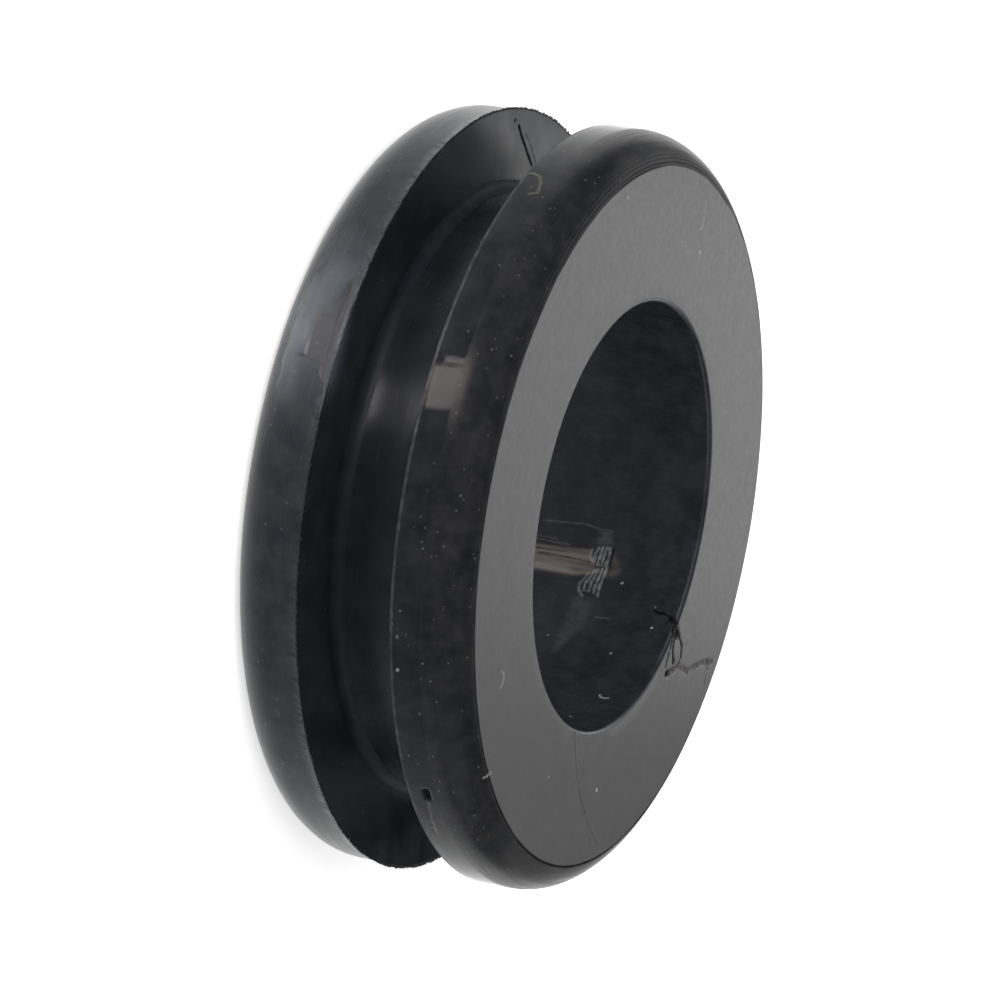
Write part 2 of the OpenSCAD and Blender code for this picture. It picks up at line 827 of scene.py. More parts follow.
class SkinMesh:
    """The grid of the skin, coarse as a whole and fine in some areas.

    Attributes:
        cell_parts: Number of places told apart along a cell's side. All splits divide it.
    """

    cell_parts = 5040

    def __init__(self, outline: Outline, columns: int) -> None:
        """Start with an unsplit grid.

        Args:
            outline: The closed half section.
            columns: Number of columns once round.
        """
        self.outline = outline
        self.columns = columns
        self.numbers: dict[tuple[int, int], int] = {}
        self.places: list[Pair] = []
        self.faces: list[list[int]] = []
        self.zones: list[int] = []
        self.done: set[tuple[int, int]] = set()
        self.level_edges: dict[tuple[int, int], list[int]] = {}
        self.upright_edges: dict[tuple[int, int], list[int]] = {}

    def point(self, column: float, row: float) -> int:
        """Give the point at a place of the grid, which is made at its first use.

        Args:
            column: Its column, which may lie between two columns.
            row: Its row, which may lie between two rows.

        Returns:
            Its number.
        """
        rows, parts = self.outline.rows, self.cell_parts
        key = (round(column * parts) % (self.columns * parts), round(row * parts) % (rows * parts))
        if key not in self.numbers:
            self.numbers[key] = len(self.places)
            self.places.append((column % self.columns, row % rows))
        return self.numbers[key]

    def zone_of(self, row: float) -> int:
        """Number of the zone that a row lies in."""
        return self.outline.stretches[self.outline.stretch_at(row)].zone.value

    def levels(self, bottom: int, top: int, spacing: float) -> list[float]:
        """Divide some rows.

        Args:
            bottom: First row.
            top: Last row.
            spacing: Largest distance between the new rows.

        Returns:
            The new rows, with the old ones among them.
        """
        marks = np.interp(np.arange(bottom, top + 1), self.outline.row_marks, self.outline.reach_marks)
        result: list[float] = []
        for row, length in zip(range(bottom, top), np.diff(marks)):
            cuts = max(1, math.ceil(length / spacing))
            result += [row + k / cuts for k in range(cuts)]
        return result + [float(top)]

    def add_fine(self, sheet: Sheet, area: FineArea) -> None:
        """Mesh an area finely.

        Args:
            sheet: The sheet that it is measured on.
            area: The area. Its borders are moved out to whole cells of the coarse grid.
        """
        width = 360.0 / self.columns
        first, last = math.floor(area.degrees[0] / width), math.ceil(area.degrees[1] / width)
        ends = sorted(self.outline.row_at(self.outline.reach_of(sheet, s)) for s in area.stations)
        bottom, top = math.floor(ends[0] + SAME_ROW), math.ceil(ends[1] - SAME_ROW)
        levels = self.levels(bottom, top, area.spacing * MM)
        splits = area.splits
        grid = [
            [self.point(first + k / splits, row) for row in levels]
            for k in range((last - first) * splits + 1)
        ]
        zones = [self.zone_of(row) for row in levels[:-1]]
        for left, right in zip(grid[:-1], grid[1:]):
            for low, zone in enumerate(zones):
                self.faces.append([left[low], left[low + 1], right[low + 1], right[low]])
                self.zones.append(zone)
        for column in range(first, last):
            start = (column - first) * splits
            for row, side in ((bottom, 0), (top, -1)):
                between = [grid[start + k][side] for k in range(1, splits)]
                self.level_edges[(column % self.columns, row % self.outline.rows)] = between
            self.done.update((column % self.columns, row) for row in range(bottom, top))
        for row in range(bottom, top):
            span = [k for k, level in enumerate(levels) if row < level < row + 1]
            for column, side in ((first, 0), (last, -1)):
                self.upright_edges[(column % self.columns, row)] = [grid[side][k] for k in span]

    def add_rest(self) -> None:
        """Mesh everything else, with the extra points of a fine neighbour's border in each face."""
        for column in range(self.columns):
            after = (column + 1) % self.columns
            for row in range(self.outline.rows):
                if (column, row) in self.done:
                    continue
                above = (row + 1) % self.outline.rows
                face = [self.point(column, row)]
                face += self.upright_edges.get((column, row), [])
                face.append(self.point(column, above))
                face += self.level_edges.get((column, above), [])
                face.append(self.point(after, above))
                face += self.upright_edges.get((after, row), [])[::-1]
                face.append(self.point(after, row))
                face += self.level_edges.get((column, row), [])[::-1]
                self.faces.append(face)
                self.zones.append(self.zone_of(row))

    def skin(self) -> Skin:
        """Give the points as a skin that can be marked."""
        places = np.array(self.places)
        return Skin(self.outline, places[:, 0] * 2.0 * math.pi / self.columns, places[:, 1])


Socket = bpy.types.NodeSocket
Feed = Socket | Triple | float


class Nodes:
    """A material's node tree, with short ways to add to it."""

    def __init__(self, name: str) -> None:
        """Make a material with one shader.

        Args:
            name: Name of the material.
        """
        self.material = bpy.data.materials.new(name)
        self.material.use_nodes = True
        self.tree = self.material.node_tree
        self.shader = self.tree.nodes["Principled BSDF"]
        self.spot = self.tree.nodes.new("ShaderNodeTexCoord").outputs["Object"]

    def feed(self, node: bpy.types.Node, inputs: dict[str | int, Feed]) -> bpy.types.Node:
        """Link or set some inputs of a node.

        Args:
            node: The node.
            inputs: A socket, a colour, a triple or a number for each input, by name or place.

        Returns:
            The node.
        """
        for name, value in inputs.items():
            socket = node.inputs[name]
            if isinstance(value, Socket):
                self.tree.links.new(value, socket)
            else:
                socket.default_value = (*value, 1.0) if socket.type == "RGBA" else value
        return node

    def add(self, kind: str, inputs: dict[str | int, Feed]) -> bpy.types.Node:
        """Add a node of a kind, which is named without ShaderNode, and feed it."""
        return self.feed(self.tree.nodes.new("ShaderNode" + kind), inputs)

    def noise(self, size: float, detail: float, stretch: Triple = (1.0, 1.0, 1.0)) -> Socket:
        """Add a cloud texture.

        Args:
            size: Size of its clouds.
            detail: Number of finer layers.
            stretch: How many times longer the clouds are along each axis.

        Returns:
            Its value, about 0.3 to 0.7.
        """
        scale = tuple(1.0 / (size * s) for s in stretch)
        place = self.add("Mapping", {"Scale": scale, "Vector": self.spot}).outputs["Vector"]
        return self.add("TexNoise", {"Scale": 1.0, "Detail": detail, "Vector": place}).outputs["Fac"]

    def dust(self, spacing: float, size: float) -> Socket:
        """Add scattered specks.

        Args:
            spacing: Mean distance between them.
            size: Their radius.

        Returns:
            0 beside the specks, and on each speck its own value, up to 1.
        """
        cells = self.add("TexVoronoi", {"Scale": 1.0 / spacing, "Vector": self.spot})
        speck = self.spread(cells.outputs["Distance"], (size / spacing, 0.5 * size / spacing), (0.0, 1.0))
        faded = self.add("Math", {0: speck, 1: cells.outputs["Color"]})
        faded.operation = "MULTIPLY"
        return faded.outputs["Value"]

    def attribute(self, feel: Feel) -> Socket:
        """Read what the marks wrote on the skin.

        Args:
            feel: The change of look to read.

        Returns:
            How far it goes at a point, from 0 to 1.
        """
        node = self.add("Attribute", {})
        node.attribute_name = feel.value
        return node.outputs["Fac"]

    def spread(self, value: Socket, source: Pair, target: Pair) -> Socket:
        """Spread one range of values over another.

        Args:
            value: The value.
            source: Its range.
            target: The range that it becomes.

        Returns:
            The new value, held within its range.
        """
        ends = zip(("From Min", "From Max", "To Min", "To Max"), (*source, *target))
        return self.add("MapRange", {"Value": value, **dict(ends)}).outputs["Result"]

    def blend(self, share: Socket, first: Feed, second: Triple | float) -> Socket:
        """Blend two colours or two values.

        Args:
            share: How much of the second is taken.
            first: A colour, a number, or a socket.
            second: A colour, or a number.

        Returns:
            The blend.
        """
        node = self.add("Mix", {})
        node.data_type = "RGBA" if isinstance(second, tuple) else "FLOAT"
        places = [n for n, socket in enumerate(node.inputs) if socket.enabled]
        self.feed(node, dict(zip(places, (share, first, second))))
        return next(s for s in node.outputs if s.enabled)

    def bump(self, height: Socket, depth: float, under: Feed | None = None) -> Socket:
        """Add fine relief.

        Args:
            height: The relief, from 0 to 1.
            depth: Its depth.
            under: Relief that it lies on.

        Returns:
            The normal.
        """
        below = {} if under is None else {"Normal": under}
        return self.add("Bump", {"Distance": depth, "Height": height, **below}).outputs["Normal"]


@dataclass(frozen=True)
class RubberFinish:
    """Finish of one moulded surface of black rubber.

    Attributes:
        colour: Colour of the clean rubber.
        bloom: Colour where the rubber has a faint bloom.
        roughness: Least and greatest roughness.
        mirroring: How much it mirrors seen straight on, as a share of a clean, smooth surface.
        gloss: Specular level of the shader.
        film: How far a thin, cloudy film of dust hides the rubber, from 0 to 1.
        grain_size: Size of the moulded grain.
        grain_depth: Depth of the moulded grain.
        line_size: Distance between the fine tool lines.
        line_depth: Depth of the tool lines.
        line_stretch: How many times longer the tool lines are along each axis.
        dust_spacing: Mean distance between dust specks, in depth too.
        dust_size: Radius of a dust speck.
        dust_colour: Colour of the dust specks.
        torn_colour: Colour where the rubber is torn, and of the painted shade in the face's step and
            rings.
        brown_colour: Colour of its stains, and of the painted warm reflection on the bore's wall.
        pale_colour: Colour of dust and of scuffed ridges.
        bloom_size: Size of the bloom's clouds.
        film_size: Size of the film's clouds.
        bloom_range: Values of its clouds at which the bloom begins and is full.
        film_range: Values of its clouds at which the film begins and is full.
        line_range: Values of the lines' texture at which the rubber is smoothest and roughest.
        feel_roughness: Roughness of what is pale, polished and torn.
        feel_gloss: Specular level of what is polished and torn.
    """

    colour: Triple
    bloom: Triple
    roughness: Pair
    mirroring: Triple
    gloss: float = 0.5
    film: float = 0.0
    grain_size: float = 0.2 * MM
    grain_depth: float = 0.004 * MM
    line_size: float = 0.25 * MM
    line_depth: float = 0.0015 * MM
    line_stretch: Triple = (8.0, 8.0, 1.0)
    dust_spacing: float = 0.9 * MM
    dust_size: float = 0.05 * MM
    dust_colour: Triple = (0.3, 0.3, 0.3)
    torn_colour: Triple = (0.006, 0.006, 0.007)
    brown_colour: Triple = (0.16, 0.13, 0.115)
    pale_colour: Triple = (0.42, 0.42, 0.42)
    bloom_size: float = 1.6 * MM
    film_size: float = 0.6 * MM
    bloom_range: Pair = (0.38, 0.66)
    film_range: Pair = (0.4, 0.72)
    line_range: Pair = (0.3, 0.7)
    feel_roughness: Triple = (0.8, 0.16, 0.75)
    feel_gloss: Pair = (0.5, 0.02)

    def material(self, name: str) -> bpy.types.Material:
        """Make the node material, whose textures follow the object's own coordinates.

        Args:
            name: Its name.

        Returns:
            The material.
        """
        nodes = Nodes(name)
        clouds = nodes.noise(self.bloom_size, detail=4.0)
        lines = nodes.noise(self.line_size, detail=2.0, stretch=self.line_stretch)
        colour = nodes.blend(nodes.spread(clouds, self.bloom_range, (0.0, 1.0)), self.colour, self.bloom)
        film = nodes.spread(nodes.noise(self.film_size, detail=8.0), self.film_range, (0.0, self.film))
        colour = nodes.blend(film, colour, self.dust_colour)
        colour = nodes.blend(nodes.dust(self.dust_spacing, self.dust_size), colour, self.dust_colour)
        tints = (self.brown_colour, self.torn_colour, self.pale_colour)
        for feel, tint in zip((Feel.BROWN, Feel.TORN, Feel.PALE), tints):
            colour = nodes.blend(nodes.attribute(feel), colour, tint)
        roughness = nodes.spread(lines, self.line_range, self.roughness)
        for feel, value in zip((Feel.PALE, Feel.POLISHED, Feel.TORN), self.feel_roughness):
            roughness = nodes.blend(nodes.attribute(feel), roughness, value)
        relief = nodes.bump(lines, self.line_depth)
        relief = nodes.bump(nodes.noise(self.grain_size, detail=3.0), self.grain_depth, relief)
        gloss = self.gloss
        for feel, value in zip((Feel.POLISHED, Feel.TORN), self.feel_gloss):
            gloss = nodes.blend(nodes.attribute(feel), gloss, value)
        inputs = {"Base Color": colour, "Roughness": roughness, "Normal": relief}
        nodes.feed(nodes.shader, {**inputs, "Specular IOR Level": gloss, "Specular Tint": self.mirroring})
        return nodes.material


@dataclass
class Grommet:
    """The moulded grommet: one skin of rubber with its marks.

    Attributes:
        section: Its half section.
        finishes: The finish of each zone.
        blemishes: Its marks.
        unevenness: Its slight waviness.
        columns: Number of mesh columns once round.
        sharp_angle: Angle from which an edge of the mesh is shaded sharp, in degrees.
    """

    section: Section
    finishes: dict[Zone, RubberFinish]
    blemishes: tuple[Blemish, ...]
    unevenness: Unevenness = Unevenness()
    columns: int = 384
    sharp_angle: float = 40.0

    def build(self) -> bpy.types.Object:
        """Make the grommet.

        Returns:
            Its object, linked to the scene and attached to the frame's root body.
        """
        grid = SkinMesh(Outline(self.section), self.columns)
        for blemish in self.blemishes:
            if blemish.area:
                grid.add_fine(blemish.sheet, blemish.area)
        grid.add_rest()
        skin = grid.skin()
        for blemish in self.blemishes:
            for mark in blemish.marks:
                mark.press(skin, blemish.sheet)
            log.info("grommet_rubber: %s", blemish.name)
        self.unevenness.press(skin)
        piece = bpy.data.objects.new("grommet_rubber", self.mesh(grid, skin))
        bpy.context.scene.collection.objects.link(piece)
        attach(piece, "root")
        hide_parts("grommet")
        return piece

    def mesh(self, grid: SkinMesh, skin: Skin) -> bpy.types.Mesh:
        """Make the mesh and dress it.

        Args:
            grid: Its faces.
            skin: Its points, with the marks.

        Returns:
            The mesh.
        """
        mesh = bpy.data.meshes.new("grommet_rubber")
        mesh.from_pydata(skin.points().tolist(), [], grid.faces)
        mesh.polygons.foreach_set("material_index", np.array(grid.zones, dtype=np.int32))
        for zone in Zone:
            mesh.materials.append(self.finishes[zone].material("rubber_" + zone.name.lower()))
        for feel, amount in skin.feels.items():
            layer = mesh.attributes.new(feel.value, "FLOAT", "POINT")
            layer.data.foreach_set("value", amount.astype(np.float32))
        mesh.shade_smooth()
        mesh.set_sharp_from_angle(angle=math.radians(self.sharp_angle))
        return mesh


@dataclass(frozen=True)
class Softbox:
    """One soft light.

    Attributes:
        name: Name of the light.
        place: Where it stands.
        target: What it points at.
        size: Width and height of its face.
        power: Its power in watts.
        colour: Its colour.
        lights: Whether it lights what is matt.
        spread: Angle that its beam opens at, in degrees.
    """

    name: str
    place: Triple
    target: Triple
    size: Pair
    power: float
    colour: Triple = (1.0, 1.0, 1.0)
    lights: bool = True
    spread: float = 180.0

    def build(self) -> bpy.types.Object:
        """Set the light up.

        Returns:
            The light's object. The camera doesn't see its face.
        """
        data = bpy.data.lights.new(self.name, "AREA")
        data.shape = "RECTANGLE"
        data.size, data.size_y = self.size
        data.energy = self.power
        data.color = self.colour
        data.spread = math.radians(self.spread)
        light = bpy.data.objects.new(self.name, data)
        light.location = self.place
        aim = Vector(self.target) - Vector(self.place)
        light.rotation_euler = aim.to_track_quat("-Z", "Y").to_euler()
        light.visible_camera = False
        light.visible_diffuse = self.lights
        bpy.context.scene.collection.objects.link(light)
        return light


def around(azimuth: float, elevation: float, distance: float) -> Triple:
    """Find a place round the grommet.

    Args:
        azimuth: Direction seen from above, in degrees from +X towards +Y.
        elevation: Angle above the floor, in degrees.
        distance: Distance from the grommet.

    Returns:
        The place.
    """
    turn, rise = math.radians(azimuth), math.radians(elevation)
    level = distance * math.cos(rise)
    return level * math.cos(turn), level * math.sin(turn), distance * math.sin(rise)


MIDDLE = (0.0, 0.0, 0.007)
PANEL_DISTANCE, PANEL_SIZE = 0.8, (0.5, 0.41)
CARD_DISTANCE, CARD_SIZE = 0.14, (0.09, 0.085)
PANE_AIM = (0.0071, 0.0127, 0.0027)
WARM = (1.0, 0.85, 0.74)


def panel(name: str, azimuth: float, elevation: float, power: float) -> Softbox:
    """Make one of the large soft lights that stand all round."""
    return Softbox(name, around(azimuth, elevation, PANEL_DISTANCE), MIDDLE, PANEL_SIZE, power)


def card(name: str, azimuth: float, elevation: float, power: float) -> Softbox:
    """Make one of the small soft lights that stand close by."""
    return Softbox(name, around(azimuth, elevation, CARD_DISTANCE), MIDDLE, CARD_SIZE, power)


def pane(name: str, place: Triple, size: Pair, power: float) -> Softbox:
    """Make a small warm light close to the upper rim, which shows in its gloss alone."""
    target = tuple(start + step for start, step in zip(place, PANE_AIM))
    return Softbox(name, place, target, size, power, WARM, lights=False)


SOFTBOXES = (
    panel("low_front_left", 240.0, 21.0, 1.24),
    panel("high_front_left", 240.0, 48.0, 1.55),
    panel("high_front", 270.0, 48.0, 0.78),
    panel("low_front_right", 300.0, 21.0, 0.85),
    panel("high_right_front", 330.0, 48.0, 1.0),
    panel("low_right_front", 330.0, 21.0, 1.15),
    panel("low_right", 0.0, 21.0, 1.3),
    panel("high_back", 90.0, 48.0, 1.2),
    panel("low_back", 120.0, 21.0, 0.48),
    panel("low_left_front", 210.0, 21.0, 1.02),
    panel("high_left_front", 210.0, 48.0, 1.15),
    card("left_card", 210.0, 30.0, 0.0444),
    panel("low_far_right", 62.0, 15.0, 0.42),
    card("back_card", 120.0, 40.0, 0.019),
    Softbox("face_card", (-0.008, 0.065, 0.034), (-0.004, 0.012, 0.0145), (0.036, 0.025), 0.0033),
    pane("window", (-0.01218, -0.03449, 0.0068), (0.0057, 0.0095), 0.014),
    pane("window_bar", (-0.01532, -0.03274, 0.0083), (0.0008, 0.0075), 0.0016),
    Softbox(
        name="floor_light",
        place=(-0.011, -0.0238, 0.012),
        target=(-0.011, -0.0238, 0.0),
        size=(0.012, 0.003),
        power=0.0021,
        spread=40.0,
    ),
)


@dataclass(frozen=True)
class Studio:
    """Floor, lights, surroundings and camera.

    Attributes:
        camera_place: Where the camera stands.
        look_at: The point at the middle of the picture.
        roll: How far the camera is turned about its own axis, in degrees.
        lens: Focal length on a sensor 36 mm wide.
        softboxes: The soft lights.
        room_light: Strength of the even light of the room.
        floor_glow: Strength of the light that comes through the floor, as on a light table.
        floor_half: Half the side of the floor.
    """

    camera_place: Triple = (0.323 * MM, -361.332 * MM, 158.525 * MM)
    look_at: Triple = (0.323 * MM, -1.448 * MM, 7.25 * MM)
    roll: float = 100.187
    lens: float = 242.596
    softboxes: tuple[Softbox, ...] = SOFTBOXES
    room_light: float = 0.005
    floor_glow: float = 0.52
    floor_half: float = 1.5

    def build(self) -> None:
        """Make the floor, the lights, the surroundings and the camera."""
        self.make_camera()
        self.make_floor()
        self.make_surroundings()
        for softbox in self.softboxes:
            softbox.build()
        view = bpy.context.scene.view_settings
        view.view_transform = "Standard"
        view.look = "None"

    def make_camera(self) -> None:
        """Place the camera as the photograph was taken, turned with the object."""
        data = bpy.data.cameras.new("camera")
        data.sensor_width = 36.0
        data.lens = self.lens
        data.clip_start = 0.01
        data.clip_end = 10.0
        camera = bpy.data.objects.new("camera", data)
        forward = (Vector(self.look_at) - Vector(self.camera_place)).normalized()
        level = forward.to_track_quat("-Z", "Y").to_matrix().to_4x4()
        turned = level @ Matrix.Rotation(math.radians(self.roll), 4, "Z")
        camera.matrix_world = Matrix.Translation(self.camera_place) @ turned
        bpy.context.scene.collection.objects.link(camera)
        bpy.context.scene.camera = camera

    def make_floor(self) -> None:
        """Lay the pale floor that the grommet rests on."""
        half = self.floor_half
        corners = [(-half, -half, 0.0), (half, -half, 0.0), (half, half, 0.0), (-half, half, 0.0)]
        mesh = bpy.data.meshes.new("floor")
        mesh.from_pydata(corners, [], [(0, 1, 2, 3)])
        material = bpy.data.materials.new("pale_floor")
        material.use_nodes = True
        shader = material.node_tree.nodes["Principled BSDF"]
        shader.inputs["Base Color"].default_value = (0.86, 0.86, 0.86, 1.0)
        shader.inputs["Roughness"].default_value = 0.9
        shader.inputs["Emission Color"].default_value = (1.0, 1.0, 1.0, 1.0)
        shader.inputs["Emission Strength"].default_value = self.floor_glow
        mesh.materials.append(material)
        floor = bpy.data.objects.new("floor", mesh)
        bpy.context.scene.collection.objects.link(floor)

    def make_surroundings(self) -> None:
        """Fill the room with even, pale light."""
        world = bpy.data.worlds.new("room")
        world.use_nodes = True
        background = world.node_tree.nodes["Background"]
        background.inputs["Color"].default_value = (1.0, 1.0, 1.0, 1.0)
        background.inputs["Strength"].default_value = self.room_light
        bpy.context.scene.world = world


LOWER_RIM_FINISH = RubberFinish(
    colour=(0.009, 0.0106, 0.0128),
    bloom=(0.0162, 0.0175, 0.0198),
    roughness=(0.18, 0.3),
    mirroring=(0.25, 0.27, 0.31),
    gloss=0.33,
    film=0.06,
    grain_size=0.25 * MM,
    grain_depth=0.003 * MM,
    line_size=0.16 * MM,
    line_stretch=(25.0, 25.0, 1.0),
    dust_spacing=0.7 * MM,
    dust_size=0.08 * MM,
    dust_colour=(0.11, 0.105, 0.1),
)
FINISHES = {
    Zone.BORE: RubberFinish(
        colour=(0.0118, 0.0132, 0.0158),
        bloom=(0.0187, 0.0202, 0.0232),
        roughness=(0.2, 0.32),
        mirroring=(0.5, 0.52, 0.56),
        gloss=0.25,
        film=0.02,
        grain_size=0.3 * MM,
        grain_depth=0.0015 * MM,
        line_size=0.12 * MM,
        line_depth=0.001 * MM,
        line_stretch=(1.0, 1.0, 12.0),
        dust_spacing=1.7 * MM,
    ),
    Zone.FACE: RubberFinish(
        colour=(0.015, 0.014, 0.0145),
        bloom=(0.021, 0.0195, 0.0205),
        roughness=(0.4, 0.48),
        mirroring=(0.98, 0.97, 1.0),
        gloss=1.0,
        grain_size=0.1 * MM,
        grain_depth=0.002 * MM,
        line_size=0.5 * MM,
        line_depth=0.002 * MM,
        line_stretch=(1.0, 1.0, 1.0),
        dust_spacing=1.3 * MM,
    ),
    Zone.SHOULDER: replace(
        LOWER_RIM_FINISH,
        colour=(0.0085, 0.0093, 0.0108),
        bloom=(0.0155, 0.0158, 0.017),
        roughness=(0.25, 0.36),
        mirroring=(0.07, 0.073, 0.085),
        gloss=0.13,
        film=0.05,
        grain_size=0.2 * MM,
        grain_depth=0.008 * MM,
        line_depth=0.003 * MM,
        dust_spacing=0.6 * MM,
        dust_colour=(0.11, 0.1, 0.092),
    ),
    Zone.RIM: replace(
        LOWER_RIM_FINISH,
        colour=(0.0076, 0.0086, 0.0104),
        bloom=(0.0142, 0.0148, 0.0164),
        roughness=(0.06, 0.1),
        mirroring=(0.08, 0.086, 0.1),
        gloss=0.12,
        film=0.04,
        grain_size=0.2 * MM,
        dust_colour=(0.11, 0.1, 0.092),
        brown_colour=(0.13, 0.125, 0.1),
    ),
    # The lip's colour is paler than the rim's and its dust film is heavier: a painted highlight along the
    # groove's edge. Its roughness spreads the real highlight.
    Zone.LIP: RubberFinish(
        colour=(0.014, 0.015, 0.017),
        bloom=(0.02, 0.021, 0.023),
        roughness=(0.45, 0.6),
        mirroring=(0.3, 0.3, 0.32),
        gloss=0.1,
        film=0.1,
    ),
    Zone.LOWER_RIM: LOWER_RIM_FINISH,
    Zone.FILLET: RubberFinish(
        colour=(0.0095, 0.0115, 0.0145),
        bloom=(0.0145, 0.0165, 0.0195),
        roughness=(0.45, 0.55),
        mirroring=(0.08, 0.09, 0.1),
        gloss=0.2,
        grain_depth=0.0015 * MM,
        dust_size=0.03 * MM,
    ),
    Zone.GROOVE: RubberFinish(
        colour=(0.0072, 0.0088, 0.011),
        bloom=(0.011, 0.0128, 0.0152),
        roughness=(0.2, 0.28),
        mirroring=(0.1, 0.11, 0.13),
        grain_size=0.15 * MM,
        dust_size=0.03 * MM,
    ),
}

DEEP = ((Feel.TORN, 1.0),)
DULL = ((Feel.TORN, 0.55),)


def strand(path: tuple[Pair, ...], width: float, depth: float, seed: int) -> Stroke:
    """Make one dark strand of the tear."""
    return Stroke(path, width, -depth, 0.75, DEEP, seed)


def hole(angle: float, station: float, size: float, depth: float = 0.1) -> Fleck:
    """Make a small dark hole."""
    return Fleck((angle, station), size, -depth, DEEP)


def wrinkle(path: tuple[Pair, ...], pale: float, seed: int) -> Stroke:
    """Make one raised wrinkle on the bore's wall, with a scuffed, pale ridge."""
    return Stroke(path, 0.11, 0.045, 1.0, ((Feel.PALE, pale),), seed)


def grit(sheet: Sheet, angle: float, station: float, size: float, pale: float) -> Blemish:
    """Make one pale grain, with its own fine area."""
    area = FineArea((angle - 0.8, angle + 0.8), (station - 0.3, station + 0.3), 4, 0.07)
    return Blemish("grit", sheet, (Fleck((angle, station), size, 0.006, ((Feel.PALE, pale),)),), area)


def fluff(name: str, sheet: Sheet, curl: Stroke, degrees: Pair, stations: Pair) -> Blemish:
    """Make a curl of fluff or a hair, with its own fine area."""
    return Blemish(name, sheet, (curl,), FineArea(degrees, stations, 4, 0.08))


TEAR = Blemish(
    name="tear in the upper face",
    sheet=Sheet.UPPER_FACE,
    area=FineArea((49.5, 69.5), (10.6, 20.1), 4, 0.08),
    marks=(
        strand(((66.0, 10.9), (65.2, 11.3), (65.6, 11.6), (64.4, 12.1)), 0.12, 0.1, 3),
        strand(((64.4, 12.1), (63.6, 12.5), (62.4, 12.9), (60.8, 13.3)), 0.26, 0.16, 4),
        strand(((62.4, 12.5), (60.3, 12.6), (57.0, 13.0), (54.4, 13.2), (52.1, 13.5)), 0.13, 0.14, 5),
        strand(((61.6, 12.9), (59.4, 13.05), (57.1, 13.5), (56.0, 14.2)), 0.2, 0.16, 6),
        strand(((63.1, 12.8), (61.9, 13.6), (61.3, 14.4), (59.3, 14.9), (57.8, 14.95)), 0.14, 0.14, 7),
        strand(((51.6, 14.0), (52.6, 14.2)), 0.26, 0.14, 8),
        Stroke(
            path=((52.4, 14.2), (57.1, 15.0), (59.5, 16.4), (62.0, 17.3), (64.2, 17.9), (67.1, 19.6)),
            width=0.25,
            lift=-0.045,
            rough=1.0,
            feels=((Feel.TORN, 0.5), (Feel.BROWN, 0.2)),
            seed=9,
        ),
        hole(57.8, 14.92, 0.14),
        hole(57.0, 15.0, 0.14),
        hole(59.2, 16.55, 0.15),
        hole(65.4, 19.3, 0.13, 0.08),
        Stroke(((63.2, 19.5), (62.6, 19.7)), 0.1, -0.05, 0.3, DULL),
        Fleck((60.5, 11.2)),
        Fleck((66.8, 10.95), feels=((Feel.PALE, 0.25),)),
    ),
)

